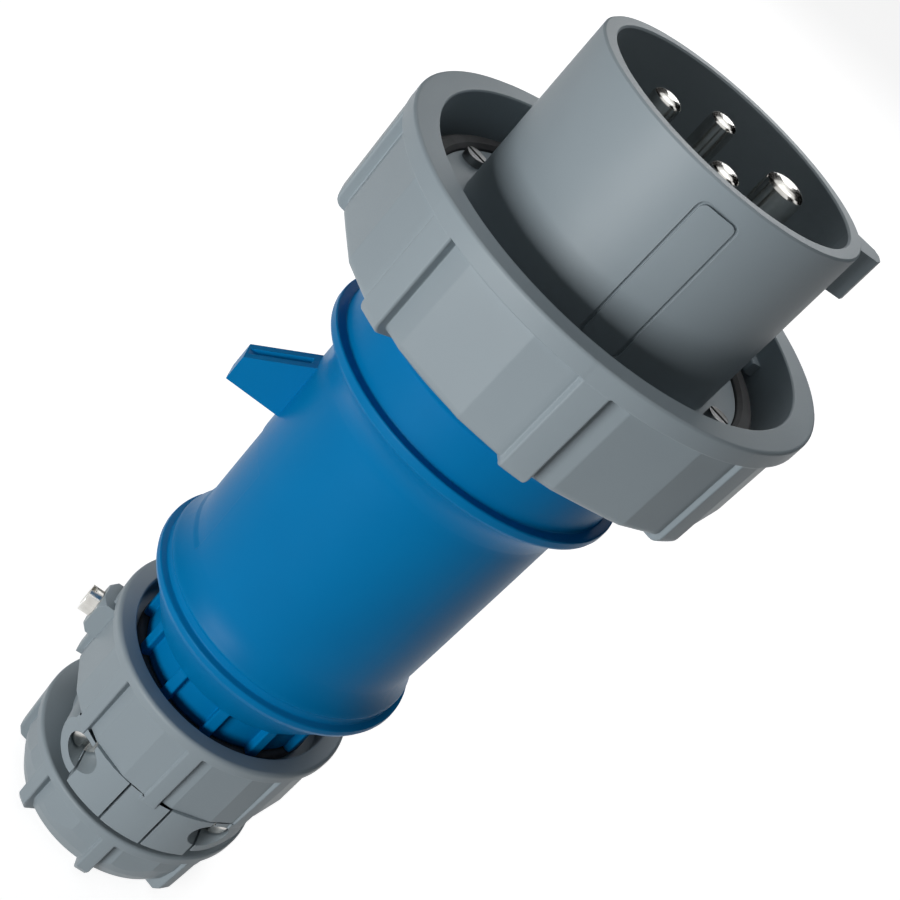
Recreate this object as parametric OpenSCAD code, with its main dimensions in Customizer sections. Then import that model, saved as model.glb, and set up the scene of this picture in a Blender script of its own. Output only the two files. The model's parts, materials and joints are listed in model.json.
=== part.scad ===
// Industrial pin and sleeve plug, four poles, standing on its rear nut.
// Millimetres. The axis is Z with the pins up, and +X points at the key on the shroud.

/* [Shroud] */
// Outer radius of the shroud tube
shroud_r = 25; // [24:0.25:26]
// Wall of the shroud tube
shroud_wall = 2.5; // [2:0.1:3]
// Height of the shroud above the floor that the seal lies on
shroud_h = 32.5; // [30:0.5:36]
// How far the floor inside the shroud lies below the outer floor
well_drop = 6.5; // [5:0.5:7.5]
// Length of the key along the axis
key_len = 8.2; // [6:0.2:12]
// Width of the key at its root
key_w = 6.9; // [5:0.1:8]
// Height of the key above the shroud
key_h = 4.1; // [3:0.1:4.5]
// Length of the framed panel on the shroud
panel_len = 26.5; // [20:0.5:27]
// Width of the framed panel
panel_w = 7; // [5:0.5:9]

/* [Pins] */
// Radius of the circle that the pins stand on
pin_circle_r = 11; // [10.5:0.1:11.5]
// Diameter of the line pins
line_pin_d = 5; // [4.5:0.1:5.5]
// Diameter of the earth pin
earth_pin_d = 7; // [6:0.1:7.5]
// How far the tips of the line pins lie below the rim
line_tip_drop = 1.5; // [1:0.5:4]
// How far the tip of the earth pin lies below the rim
earth_tip_drop = 0.1; // [0.1:0.1:2]
// Diameter of the terminal barrels
barrel_d = 10.6; // [9:0.1:11]
// Length of the terminal barrels
barrel_len = 20; // [16:0.5:22]

/* [Lock ring] */
// Gap between the shroud and the bore of the lock ring
ring_gap = 10.1; // [9.9:0.05:10.3]
// Wall of the lock ring, its ribs included
ring_wall = 4.65; // [4.3:0.05:5.4]
// Length of the lock ring from rib ends to front face
ring_len = 23.3; // [22.6:0.1:25]
// Length of the plain band at the front of the ring
ring_band = 3.1; // [2.5:0.1:4]
// How far the ring's inner lip reaches in from its bore
lip_reach = 4.9; // [4.6:0.05:5.2]
// How far the ring turns from open to locked, in degrees
lock_turn = 45; // [30:1:50]

/* [Housing] */
// Length of the nose in front of the flange
nose_len = 16.7; // [16.2:0.1:18]
// Radius of the barrel just behind the flange
barrel_r = 24.5; // [23.8:0.05:25.2]
// How much smaller the barrel's radius is at its rear
barrel_taper = 0.55; // [0:0.05:1]
// How far the flange stands out of the barrel
flange_reach = 4.45; // [4:0.05:5]
// Thickness of the flange, with the hollow slope behind it
flange_t = 9; // [8:0.1:11]
// Length from the flange's face to the rear bead
barrel_span = 48.2; // [44:0.2:54]
// How far the rear bead stands out of the barrel
bead_reach = 2.7; // [2:0.05:3.4]
// Length of the rear bead
bead_len = 20.8; // [19:0.2:23]
// Wall of the housing
housing_wall = 2.8; // [2.2:0.1:3]
// How far the lug stands out of the barrel
lug_h = 10.3; // [7:0.1:12]
// Width of the lug
lug_w = 4.8; // [4:0.1:7]
// Length of the lug at its root
lug_len = 11.8; // [9:0.1:14]

/* [Gland] */
// Length of the gland body's outer sleeve
gland_len = 28.5; // [28:0.5:32]
// Radius over the ribs of the housing's neck
neck_rib_r = 19.3; // [18.8:0.05:19.8]
// Gap round the neck's ribs in the gland's open mouth
mouth_side = 1.8; // [1.4:0.05:2.4]
// Wall of the gland body at its front rim
gland_wall = 3.75; // [3.3:0.05:4.4]
// Gap between the housing's bead and the gland's front rim
mouth_gap = 4; // [3:0.1:5]
// Width of each of a jaw's two outer pads
pad_w = 8.1; // [6:0.1:8.6]
// Width of the bridge between the two pads' windows
bridge_w = 8.2; // [7:0.1:9]
// How far each clamp jaw can close
jaw_travel = 2; // [1:0.1:2]

/* [Rear nut] */
// Length of the rear nut
nut_len = 15.1; // [14:0.1:17]
// Wall of the rear nut, its ribs included
nut_side = 5.9; // [5.4:0.1:6.8]
// Gap between the gland body and the rear nut
nut_gap = 2.1; // [1.5:0.1:3]
// Radius of the cable opening in the rear nut
cable_r = 11; // [10:0.25:11.5]
// Rise of the rear nut's thread in one turn
nut_pitch = 2; // [1:0.25:3]

/* [Clearances] */
// Radial clearance of a turning fit
run_gap = 0.05; // [0.02:0.01:0.1]
// Gap between parts that are put together by hand
fit_gap = 0.15; // [0.1:0.01:0.2]
// Gap between parts that pass each other without touching
free_gap = 0.4; // [0.3:0.05:0.5]

/* [Hidden] */
$fn = 96;

// Colours of the mouldings and the metal
grey = [0.62, 0.65, 0.68];
blue = [0.0, 0.53, 0.74];
rubber = [0.13, 0.14, 0.15];
nickel = [0.82, 0.82, 0.8];
zinc = [0.72, 0.73, 0.72];

// Heights along the axis, from the nut's end face upwards
z_gland_rear = nut_len + nut_gap;
z_gland_front = z_gland_rear + gland_len;
z_neck_top = z_gland_front + mouth_gap;
z_bead_top = z_neck_top + bead_len;
z_flange = z_bead_top + barrel_span;
z_nose = z_flange + nose_len;
floor_t = 10.1;
z_floor = z_nose + floor_t;
z_well = z_floor - well_drop;
z_rim = z_floor + shroud_h;
lip_t = 4;
z_lip = z_nose - free_gap - lip_t;
rib_reach = 0.8;
z_ring_rear = z_lip - rib_reach;
z_ring_front = z_ring_rear + ring_len;

// Radii, from the shroud outwards, from the barrel, and from the neck outwards
ring_bore_r = shroud_r + ring_gap;
ring_r = ring_bore_r + ring_wall;
journal_r = ring_bore_r - lip_reach;
barrel_rear_r = barrel_r - barrel_taper;
flange_r = barrel_r + flange_reach;
nose_r = flange_r - 1.95;
bead_r = barrel_rear_r + bead_reach;
mouth_r = neck_rib_r + mouth_side;
gland_r = mouth_r + gland_wall;
gland_rear_r = gland_r - 0.9;
neck_thread_r = neck_rib_r - 2.1;
neck_bore_r = neck_thread_r - 2.8;
spigot_r = neck_thread_r + 0.3;
spigot_bore_r = spigot_r - 2.7;
nut_r = spigot_r + nut_side;

// Grip ribs: eight, in line with the key, each with one steep and one bevelled side
grip_n = 8;
grip_step = 360 / grip_n;
rib_steep = 4.02;
rib_bevel = -3.3;
bevel_foot = -4.4;
floor_at = [rib_steep - 0.4, 10, 29.6, grip_step + bevel_foot + 0.4];
floor_rise = [0, 0.45, 0.9, 1];

function polar(r, a) = [r * cos(a), r * sin(a)];
// Line from p to q in n steps, bowed out to its right by b
function bow(p, q, b, n) =
  [for (i = [0:n]) let (t = i / n, d = q - p) p + t * d + 4 * b * t * (1 - t) * [d[1], -d[0]] / norm(d)];
function arc(cx, cy, r, a0, a1, n) =
  [for (i = [0:n]) [cx + r * cos(a0 + (a1 - a0) * i / n), cy + r * sin(a0 + (a1 - a0) * i / n)]];

// Outline of the finger flats between the ribs, shallower from the steep side on
module flats(deep, shallow)
  polygon([for (i = [0:grip_n - 1]) for (k = [0:3])
    polar(deep + (shallow - deep) * floor_rise[k], i * grip_step + floor_at[k])]);

// One rib in plan, from well inside the wall to past its own outer radius
module rib_plan(root, top)
  polygon([
    polar(root * 0.9, bevel_foot), polar(root, bevel_foot), polar(top, rib_bevel),
    polar(top * 1.1, rib_bevel), polar(top * 1.1, rib_steep), polar(root * 0.9, rib_steep)
  ]);

// Ribs cut from the solid of revolution that the children draw
module ribs(root, top, z0, h)
  for (i = [0:grip_n - 1]) intersection() {
    children();
    rotate([0, 0, i * grip_step]) translate([0, 0, z0]) linear_extrude(h) rib_plan(root, top);
  }

// Plain tube between two radii and two heights
module tube(r1, r0, z0, z1)
  rotate_extrude() translate([r0, z0]) square([r1 - r0, z1 - z0]);

module disc(r, z0, z1) translate([0, 0, z0]) cylinder(r = r, h = z1 - z0);

// Shroud, floor, key and terminal block, moulded in one piece

block_r = barrel_rear_r - housing_wall - 0.75;
carrier_r = ring_bore_r - 1.7;
seal_r0 = carrier_r - 3.1;
seal_depth = 1;
seal_t = 2;
carrier_screw_r = shroud_r + 2.8;
seal_rebate = 1.7;
carrier_screw_az = [-24, 156];
carrier_shank_r = 1.5;
carrier_head_r = 1.9;
carrier_head_h = 1.4;
carrier_screw_bite = 4.8;
stop_w = 10;
stop_az = [80, 260];
stop_h = 4;
stop_r = ring_bore_r - free_gap;
pin_az = [0, 90, 180, 270];
pin_floor_t = 5;
rim_edge = 0.3;
pin_collar = 0.6;
z_barrel_top = z_well - pin_floor_t;
wire_lead_in = 10;
z_block_rear = z_barrel_top - barrel_len - wire_lead_in;
wire_hole_r = 2.4;
terminal_screw_r = 1.9;
terminal_screw_len = block_r - pin_circle_r - wire_hole_r;
screw_slot = 0.8;
barrel_pocket_r = barrel_d / 2 + fit_gap;
spigot_fit_r = shroud_r - 1;
spigot_fit_h = 4.2;

module pin_bores() {
  for (k = [0:3]) rotate([0, 0, pin_az[k]]) translate([pin_circle_r, 0, 0]) {
    r = (k == 0 ? earth_pin_d : line_pin_d) / 2 + pin_collar + fit_gap;
    disc(r, z_barrel_top - 1, z_well + 1);
    disc(barrel_pocket_r, z_block_rear - 1, z_barrel_top);
    translate([0, 0, z_screw]) rotate([0, 90, 0]) cylinder(r = terminal_screw_r + 0.7, h = block_r);
  }
}

module rounded_bar(l, w, r) {
  square([l - 2 * r, w], center = true);
  square([l, w - 2 * r], center = true);
  for (x = [-1, 1], y = [-1, 1]) translate([x * (l / 2 - r), y * (w / 2 - r)]) circle(r = r);
}

// Narrow groove round an empty panel, sunk in the side of the shroud
panel_groove = 0.5;
panel_sink = 0.35;
module panel_frame()
  rotate([0, 0, -90]) translate([0, 0, z_rim - 3 - panel_len / 2]) rotate([0, 90, 0])
    translate([0, 0, shroud_r * cos(asin(panel_w / 2 / shroud_r)) - panel_sink])
      linear_extrude(shroud_r) difference() {
        rounded_bar(panel_len, panel_w, 1.6);
        rounded_bar(panel_len - 2 * panel_groove, panel_w - 2 * panel_groove, 1.6 - panel_groove);
      }

module key() {
  top_w = key_w * 0.68;
  translate([0, 0, z_rim - key_len]) linear_extrude(key_len - 0.3) polygon([
    [shroud_r - 1, -key_w / 2], [shroud_r + key_h * 0.82, -top_w / 2],
    [shroud_r + key_h, -top_w * 0.22], [shroud_r + key_h, top_w * 0.22],
    [shroud_r + key_h * 0.82, top_w / 2], [shroud_r - 1, key_w / 2]
  ]);
}

module pin_carrier() color(grey) difference() {
  union() {
    rotate_extrude() polygon(concat(
      [[0, z_block_rear], [block_r, z_block_rear], [block_r, z_nose - spigot_fit_h],
       [spigot_fit_r, z_nose - spigot_fit_h], [spigot_fit_r, z_nose], [carrier_r, z_nose],
       [carrier_r, z_floor - 0.6], [carrier_r - 0.6, z_floor], [shroud_r, z_floor],
       [shroud_r, z_rim - rim_edge], [shroud_r - rim_edge, z_rim],
       [shroud_r - shroud_wall + rim_edge, z_rim], [shroud_r - shroud_wall, z_rim - rim_edge],
       [shroud_r - shroud_wall, z_well], [0, z_well]]));
    key();
    for (a = stop_az) for (side = [0, 1])
      rotate([0, 0, a + side * (stop_w + lock_turn + 1 + stop_w)])
        intersection() {
          tube(stop_r, carrier_r - 1, z_nose, z_nose + stop_h);
          translate([0, 0, z_nose]) linear_extrude(stop_h)
            polygon([[0, 0], polar(ring_r, 0), polar(ring_r, stop_w)]);
        }
  }
  tube(carrier_r + 1, seal_r0 - fit_gap, z_floor - seal_depth, z_floor + 1);
  pin_bores();
  for (a = carrier_screw_az) rotate([0, 0, a]) translate([carrier_screw_r, 0, 0])
    disc(carrier_shank_r + 0.1, z_nose - 1, z_floor + 1);
  panel_frame();
}

// Contact pins: domed shaft in front, terminal barrel with a wire hole behind

z_screw = z_barrel_top - barrel_len * 0.45;

module pin(d, tip_drop, az) color(nickel) rotate([0, 0, az]) translate([pin_circle_r, 0, 0]) {
  r = d / 2;
  dome = d * 0.22;
  z_tip = z_rim - tip_drop;
  difference() {
    rotate_extrude() polygon(concat(
      [[0, z_barrel_top - barrel_len], [barrel_d / 2 - 0.4, z_barrel_top - barrel_len],
       [barrel_d / 2, z_barrel_top - barrel_len + 0.4], [barrel_d / 2, z_barrel_top - fit_gap],
       [r + pin_collar, z_barrel_top - fit_gap], [r + pin_collar, z_well - fit_gap],
       [r, z_well - fit_gap]],
      [for (i = [0:8]) [r * cos(i * 90 / 8), z_tip - dome + dome * sin(i * 90 / 8)]]));
    disc(wire_hole_r, z_barrel_top - barrel_len - 1, z_barrel_top - barrel_len * 0.2);
    translate([0, 0, z_screw]) rotate([0, 90, 0]) cylinder(r = terminal_screw_r + 0.1, h = barrel_d);
  }
}

module earth_pin() pin(earth_pin_d, earth_tip_drop, pin_az[0]);
module line_pin_1() pin(line_pin_d, line_tip_drop, pin_az[1]);
module line_pin_2() pin(line_pin_d, line_tip_drop, pin_az[2]);
module line_pin_3() pin(line_pin_d, line_tip_drop, pin_az[3]);

module terminal_screws() color(zinc) for (a = pin_az) rotate([0, 0, a])
  translate([pin_circle_r, 0, z_screw]) rotate([0, 90, 0]) difference() {
    translate([0, 0, wire_hole_r - 0.3]) cylinder(r = terminal_screw_r, h = terminal_screw_len);
    translate([-screw_slot / 2, -2 * terminal_screw_r, wire_hole_r + terminal_screw_len - 1.3])
      cube([screw_slot, 4 * terminal_screw_r, 2]);
  }

module carrier_screws() color(nickel) for (a = carrier_screw_az) rotate([0, 0, a])
  translate([carrier_screw_r, 0, 0]) difference() {
    union() {
      disc(carrier_shank_r, z_nose - carrier_screw_bite, z_floor + 0.5);
      disc(carrier_head_r, z_floor, z_floor + carrier_head_h);
    }
    translate([-2 * carrier_head_r, -screw_slot / 2, z_floor + carrier_head_h - 1])
      cube([4 * carrier_head_r, screw_slot, 2]);
  }

module face_seal() color(rubber)
  rotate_extrude() polygon([
    [seal_r0, z_floor - seal_depth], [carrier_r - fit_gap, z_floor - seal_depth],
    [carrier_r - fit_gap, z_floor - seal_depth + seal_t * 0.7],
    [carrier_r - 0.8, z_floor - seal_depth + seal_t],
    [seal_r0 + 0.6, z_floor - seal_depth + seal_t], [seal_r0, z_floor - seal_depth + seal_t * 0.7]
  ]);

// Lock ring: plain front band, ribbed grip, inner bearing lip, two bayonet ramps and two stops

ring_floor_deep = ring_r - 2.05;
ring_floor_shallow = ring_r - 0.85;
ring_edge = 0.8;
bore_edge = 0.25;
ramp_r = ring_bore_r - 1.6;
ramp_angle = 60;
ramp_t = 2.4;
ramp_rise = 2.5;
ring_turned = [stop_az[0] + stop_w + 0.5, stop_az[1] + stop_w + 0.5];

module ring_skin() rotate_extrude() polygon(concat(
  [[0, z_ring_rear], [ring_r - 2.6, z_ring_rear]],
  arc(ring_r - 2, z_ring_rear + 1.8, 1.8, -70, 0, 4),
  [[ring_r - 0.1, z_ring_front - ring_band]],
  arc(ring_r - ring_edge, z_ring_front - ring_edge, ring_edge, 0, 90, 4),
  [[0, z_ring_front]]));

module ring_core() intersection() {
  rotate_extrude() polygon(concat(
    [[0, z_lip], [ring_r - 4.4, z_lip]],
    arc(ring_r - 4.4, z_lip + 2, 2, -60, 0, 3),
    [[ring_r - 0.6, z_ring_front - ring_band + 0.5], [0, z_ring_front - ring_band + 0.5]]));
  translate([0, 0, z_lip - 1]) linear_extrude(ring_len) flats(ring_floor_deep, ring_floor_shallow);
}

module ring_sector(a, w, r0, z0, h) intersection() {
  tube(ring_bore_r + 1, r0, z0, z0 + h);
  rotate([0, 0, a]) translate([0, 0, z0]) linear_extrude(h)
    polygon([[0, 0], polar(ring_r, 0), polar(ring_r * 1.1, w / 2), polar(ring_r, w)]);
}

module lock_ring() color(grey) {
  difference() {
    union() {
      intersection() {
        ring_skin();
        disc(ring_r + 1, z_ring_front - ring_band, z_ring_front + 1);
      }
      ring_core();
      ribs(ring_floor_shallow - 0.4, ring_r, z_ring_rear - 1, ring_len - ring_band + 1.5) ring_skin();
    }
    rotate_extrude() polygon([
      [0, z_ring_rear - 1], [journal_r + run_gap, z_ring_rear - 1],
      [journal_r + run_gap, z_lip + lip_t], [ring_bore_r, z_lip + lip_t],
      [ring_bore_r, z_ring_front - bore_edge], [ring_bore_r + bore_edge, z_ring_front],
      [ring_bore_r + bore_edge, z_ring_front + 1], [0, z_ring_front + 1]
    ]);
    tube(ring_r - ring_wall, journal_r - 1, z_ring_rear - 1, z_lip);
  }
  for (a = ring_turned) ring_sector(a, stop_w, carrier_r + free_gap, z_lip + lip_t, stop_h + 0.5);
  for (a = [0, 180]) intersection() {
    ring_sector(a + 20, ramp_angle, ramp_r, z_ring_front - 8, 6.5);
    rotate([0, 0, a + 20 + ramp_angle / 2]) translate([ring_bore_r, 0, z_ring_front - 5])
      rotate([atan(ramp_rise / ring_bore_r), 0, 0])
        cube([ring_bore_r / 3, 3 * ring_bore_r, ramp_t], center = true);
  }
}

// Housing: nose, flange, barrel with its lug, rear bead and ribbed neck

neck_rib_n = 12;
neck_root_r = neck_rib_r - 1.5;
z_mouth_floor = z_gland_front - 4.7;
z_neck_ribs = z_mouth_floor + 2.2;
neck_thread_len = 11.5;
z_neck_end = z_mouth_floor - neck_thread_len;
shoulder_r = journal_r + 1.2;
shoulder_t = 1.2;
z_shoulder = z_lip - 0.3;
block_seat_r = block_r + fit_gap;
bead_groove = 0.35;
bead_top = 0.57;
lug_setback = 23.9;
cavity_r = barrel_rear_r - housing_wall;
z_cavity_floor = z_bead_top - 4;
z_groove = z_neck_top + 0.7 * bead_len;

module flange_profile() polygon(concat(
  [[0, z_flange - flange_t]],
  bow([barrel_r, z_flange - flange_t], [flange_r - 0.1, z_flange - 1.7], -flange_t / 12, 5),
  [[flange_r, z_flange - 1.3], [flange_r, z_flange - 0.5], [flange_r - 0.4, z_flange], [0, z_flange]]));

module housing_outside() {
  rotate_extrude() polygon([
    [0, z_flange - 1], [nose_r, z_flange - 1], [nose_r, z_shoulder - 4],
    [shoulder_r - 2, z_shoulder - shoulder_t], [shoulder_r, z_shoulder - shoulder_t],
    [shoulder_r, z_shoulder], [journal_r, z_shoulder], [journal_r, z_nose], [0, z_nose]
  ]);
  rotate_extrude() flange_profile();
  rotate_extrude() polygon([
    [0, z_bead_top - 1], [barrel_rear_r, z_bead_top - 1],
    [barrel_r, z_flange - flange_t + 0.5], [0, z_flange - flange_t + 0.5]
  ]);
  rotate_extrude() polygon(concat(
    [[0, z_neck_top]],
    bow([neck_rib_r, z_neck_top], [bead_r, z_neck_top + bead_top * bead_len], bead_len / 18, 6),
    [[bead_r - 0.05, z_groove - 1.2], [bead_r - 0.55, z_groove],
     [bead_r - 0.6 - bead_groove, z_groove + 0.25], [bead_r - 0.75 - bead_groove, z_groove + 0.6],
     [bead_r - 0.85, z_groove + 0.9]],
    bow([bead_r - 1.1, z_groove + 1.4], [barrel_rear_r, z_bead_top], -0.3, 3),
    [[0, z_bead_top]]));
}

module neck() {
  disc(neck_root_r, z_neck_ribs, z_neck_top + 1);
  disc(neck_thread_r, z_neck_end, z_neck_ribs + 1);
  intersection() {
    disc(neck_rib_r, z_neck_ribs, z_neck_top + 0.5);
    union() for (i = [0:neck_rib_n - 1]) rotate([0, 0, i * 360 / neck_rib_n])
      translate([0, -1.1, z_neck_ribs]) cube([neck_rib_r + 1, 2.2, z_neck_top + 1 - z_neck_ribs]);
  }
}

// Lug with a sloped front, a flat back and a channel down the slope
module lug() {
  root = barrel_rear_r - 1;
  tip = barrel_r + lug_h;
  z_back = z_flange - lug_setback;
  z_front = z_back + lug_len;
  translate([0, lug_w / 2, 0]) rotate([90, 0, 0]) linear_extrude(lug_w) polygon([
    [-root, z_back], [-tip + 0.6, z_back], [-tip, z_back + 0.6], [-tip, z_back + lug_len * 0.44],
    [-barrel_r + 0.2, z_front], [-root, z_front]
  ]);
}

module lug_channel() {
  tip = barrel_r + lug_h;
  z_back = z_flange - lug_setback;
  translate([0, lug_w * 0.19, 0]) rotate([90, 0, 0]) linear_extrude(lug_w * 0.38) polygon([
    [-barrel_r - 0.8, z_back + lug_len + 1], [-barrel_r - 0.8, z_back + lug_len * 0.84],
    [-tip + 2.2, z_back + lug_len * 0.46], [-tip + 2.2, z_back + lug_len + 1]
  ]);
}

module housing() color(blue) difference() {
  union() {
    housing_outside();
    neck();
    lug();
  }
  lug_channel();
  disc(spigot_fit_r + fit_gap, z_nose - spigot_fit_h - 0.1, z_nose + 1);
  disc(block_seat_r, z_cavity_floor + 6, z_nose);
  rotate_extrude() polygon([
    [0, z_neck_end - 1], [neck_bore_r, z_neck_end - 1], [neck_bore_r, z_neck_top + 3],
    [cavity_r - 1, z_cavity_floor], [cavity_r - 1, z_cavity_floor + 7], [0, z_cavity_floor + 7]
  ]);
  for (a = carrier_screw_az) rotate([0, 0, a]) translate([carrier_screw_r, 0, 0])
    disc(carrier_shank_r + fit_gap, z_nose - carrier_screw_bite - 0.2, z_nose + 1);
  disc(spigot_fit_r + seal_rebate, z_nose - seal_rebate, z_nose + 1);
}

// O-rings: one in the corner between carrier and housing, one round the neck

module housing_seal() color(rubber)
  rotate_extrude() translate([spigot_fit_r + seal_rebate / 2, z_nose - seal_rebate / 2])
    circle(r = seal_rebate / 2 - 0.05, $fn = 32);

module neck_seal() color(rubber)
  rotate_extrude() translate([neck_thread_r + 1 + 0.05, z_mouth_floor + 1.1]) circle(r = 1, $fn = 32);

// Gland body: ribbed sleeve that screws onto the neck, with a spigot for the rear nut

gland_floor_deep = gland_rear_r - 0.72;
gland_floor_shallow = gland_rear_r + 0.06;
gland_band = 2.3;
pad_len = 11.2;
jaw_cavity_r = spigot_r - 0.3;
drum_r = spigot_r + 1;
rib_drop = 1.3;
z_jaw_floor = z_gland_rear + 1.7;
z_jaw_top = z_neck_end - 0.9;
z_spigot = 5.6;
pad_gap = 0.5;
z_clamp = z_gland_rear + 6.9;
clamp_head_r = 2.9;
clamp_shank_r = 1.75;
clamp_bore_r = clamp_head_r + free_gap;
boss_r = clamp_bore_r + 1.9;
lock_z = z_gland_front - 7.9;
lock_len = 8;
lock_w = 7;
lock_top = gland_r + 1.75;
lock_shank_r = 1.6;

module gland_skin() rotate_extrude() polygon([
  [0, z_gland_rear], [gland_rear_r - 0.3, z_gland_rear], [gland_rear_r, z_gland_rear + 0.4],
  [gland_r, z_gland_front - 1], [gland_r - 0.7, z_gland_front], [0, z_gland_front]
]);

module gland_core() intersection() {
  rotate_extrude() polygon([
    [0, z_gland_rear], [gland_rear_r - 0.8, z_gland_rear + pad_len], [gland_r - 0.8, z_gland_front],
    [0, z_gland_front]
  ]);
  translate([0, 0, z_gland_rear + pad_len]) linear_extrude(gland_len - pad_len - gland_band + 0.3)
    flats(gland_floor_deep, gland_floor_shallow);
}

// Block standing on the clamp's -Y side, its sides parallel to the jaw's travel
module pad_block(side, grow, r0, r1, z0, z1) intersection() {
  tube(r1, r0, z0, z1);
  translate([side > 0 ? bridge_w / 2 + pad_gap - grow : -bridge_w / 2 - pad_gap - pad_w - grow, -r1 - 1, z0])
    cube([pad_w + 2 * grow, r1 + 1, z1 - z0]);
}

// Lower body: a drum, the block that guides the pads, and four bosses for the clamp screws
module clamp_body() {
  disc(drum_r, z_gland_rear, z_jaw1 + 0.5);
  intersection() {
    disc(gland_rear_r, z_gland_rear, z_jaw1 + 0.5);
    translate([-pad_edge, -gland_r, z_gland_rear - 1]) cube([2 * pad_edge, 2 * gland_r, pad_len + 2]);
  }
  intersection() {
    disc(gland_rear_r, z_gland_rear, z_jaw1 + 0.5);
    for (x = [-1, 1]) translate([x * clamp_screw_x, -gland_r, z_clamp]) rotate([-90, 0, 0])
      cylinder(r = boss_r, h = 2 * gland_r);
  }
}

module gland_body() color(grey) difference() {
  union() {
    intersection() {
      gland_skin();
      disc(gland_r + 1, z_gland_front - gland_band, z_gland_front + 1);
    }
    clamp_body();
    gland_core();
    ribs(gland_floor_shallow - 0.3, gland_r, z_jaw1 - rib_drop, gland_len) gland_skin();
    disc(spigot_r, z_spigot, z_gland_rear + 1);
  }
  rotate_extrude() polygon([
    [0, z_spigot - 1], [spigot_bore_r, z_spigot - 1], [spigot_bore_r, z_jaw_floor],
    [jaw_cavity_r, z_jaw_floor], [jaw_cavity_r, z_jaw_top], [neck_thread_r + fit_gap, z_jaw_top],
    [neck_thread_r + fit_gap, z_mouth_floor], [mouth_r, z_mouth_floor],
    [mouth_r, z_gland_front - 0.3], [mouth_r + 0.3, z_gland_front], [mouth_r + 0.3, z_gland_front + 1],
    [0, z_gland_front + 1]
  ]);
  for (turn = [0, 180], side = [-1, 1]) rotate([0, 0, turn]) {
    pad_block(side, pad_gap, spigot_r + 0.6, gland_r + 1, z_gland_rear - 1, z_jaw1 + pad_gap);
    pad_block(side, pad_gap, jaw_cavity_r - 2, gland_r + 1, z_jaw_floor, z_jaw1 + pad_gap);
  }
  for (x = [-1, 1]) translate([x * clamp_screw_x, -gland_r - 1, z_clamp]) rotate([-90, 0, 0])
    cylinder(r = clamp_bore_r, h = 2 * gland_r + 2);
  translate([-lock_top, -lock_w / 2 - fit_gap, lock_z - lock_len / 2 - fit_gap])
    cube([lock_top - mouth_r - 0.8, lock_w + 2 * fit_gap, lock_len + 2 * fit_gap]);
  translate([-lock_top, 0, lock_z]) rotate([0, 90, 0]) cylinder(r = lock_shank_r + 0.2, h = lock_top - neck_thread_r + 1);
}

module lock_block() color(grey) difference() {
  intersection() {
    translate([-lock_top, -lock_w / 2, lock_z - lock_len / 2])
      cube([lock_top - mouth_r - 0.8 - fit_gap, lock_w, lock_len]);
    translate([-lock_top - 1, 0, lock_z]) rotate([0, 90, 0])
      cylinder(r1 = lock_head_r + 0.5, r2 = lock_head_r + 8.5, h = 8);
  }
  translate([-lock_top - 1, 0, lock_z]) rotate([0, 90, 0]) cylinder(r = lock_shank_r + 0.2, h = lock_top);
}

lock_head_r = 2.7;
lock_head_h = 2.5;
module lock_screw() color(nickel) difference() {
  translate([-lock_top - lock_head_h, 0, lock_z]) rotate([0, 90, 0]) {
    cylinder(r = lock_head_r, h = lock_head_h);
    cylinder(r = lock_shank_r, h = lock_top + lock_head_h - neck_root_r - 0.2);
  }
  translate([-lock_top - lock_head_h - 1, -screw_slot * 0.75, lock_z - 1.2 * lock_head_r])
    cube([1.9, screw_slot * 1.5, 2.4 * lock_head_r]);
}

// Cable clamp: two jaws drawn together by two long screws and nuts

jaw_r = jaw_cavity_r - free_gap;
jaw_grip_r = cable_r - 0.4;
jaw_half = 72;
clamp_screw_x = jaw_grip_r + 3.2;
jaw_post_r = clamp_bore_r - 0.25;
z_jaw0 = z_jaw_floor + free_gap;
z_jaw1 = z_gland_rear + pad_len;
pad_inner_r = spigot_r + 0.6 + jaw_travel + free_gap;
pad_edge = bridge_w / 2 + pad_w + 2 * pad_gap;

module jaw(turn) rotate([0, 0, turn]) difference() {
  union() {
    intersection() {
      tube(jaw_r, jaw_grip_r, z_jaw0, z_jaw1);
      translate([0, 0, z_jaw0]) linear_extrude(z_jaw1 - z_jaw0) polygon([
        [0, 0], polar(jaw_r * 1.5, -90 - jaw_half), [0, -jaw_r * 2], polar(jaw_r * 1.5, -90 + jaw_half)
      ]);
    }
    for (side = [-1, 1]) {
      translate([side * clamp_screw_x, -jaw_travel - 0.4, z_clamp]) rotate([90, 0, 0])
        cylinder(r = jaw_post_r, h = jaw_seat - jaw_travel - 0.4);
      pad_block(side, 0, jaw_r - 1, gland_rear_r, z_jaw0, z_jaw1);
      pad_block(side, 0, pad_inner_r, gland_rear_r, z_gland_rear + 0.1, z_jaw1);
    }
  }
  for (side = [-1, 1]) translate([side * clamp_screw_x, 0, z_clamp]) rotate([90, 0, 0]) {
    cylinder(r = clamp_shank_r + fit_gap, h = gland_r);
    translate([0, 0, jaw_seat]) cylinder(r = clamp_bore_r, h = gland_r);
  }
}

jaw_seat = 13.2;
clamp_head_h = 2.6;
clamp_nut_h = 2.4;
clamp_tail = jaw_seat + clamp_nut_h + 0.6;
module near_jaw() color(grey) jaw(0);
module far_jaw() color(grey) jaw(180);

module clamp_screws() color(nickel) for (x = [-1, 1]) translate([x * clamp_screw_x, 0, z_clamp])
  rotate([90, 0, 0]) difference() {
    union() {
      translate([0, 0, -clamp_tail]) cylinder(r = clamp_shank_r, h = clamp_tail + jaw_seat);
      translate([0, 0, jaw_seat]) cylinder(r = clamp_head_r, h = clamp_head_h);
    }
    translate([-screw_slot / 2, -1.2 * clamp_head_r, jaw_seat + clamp_head_h - 1.1])
      cube([screw_slot, 2.4 * clamp_head_r, 2]);
  }

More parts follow.
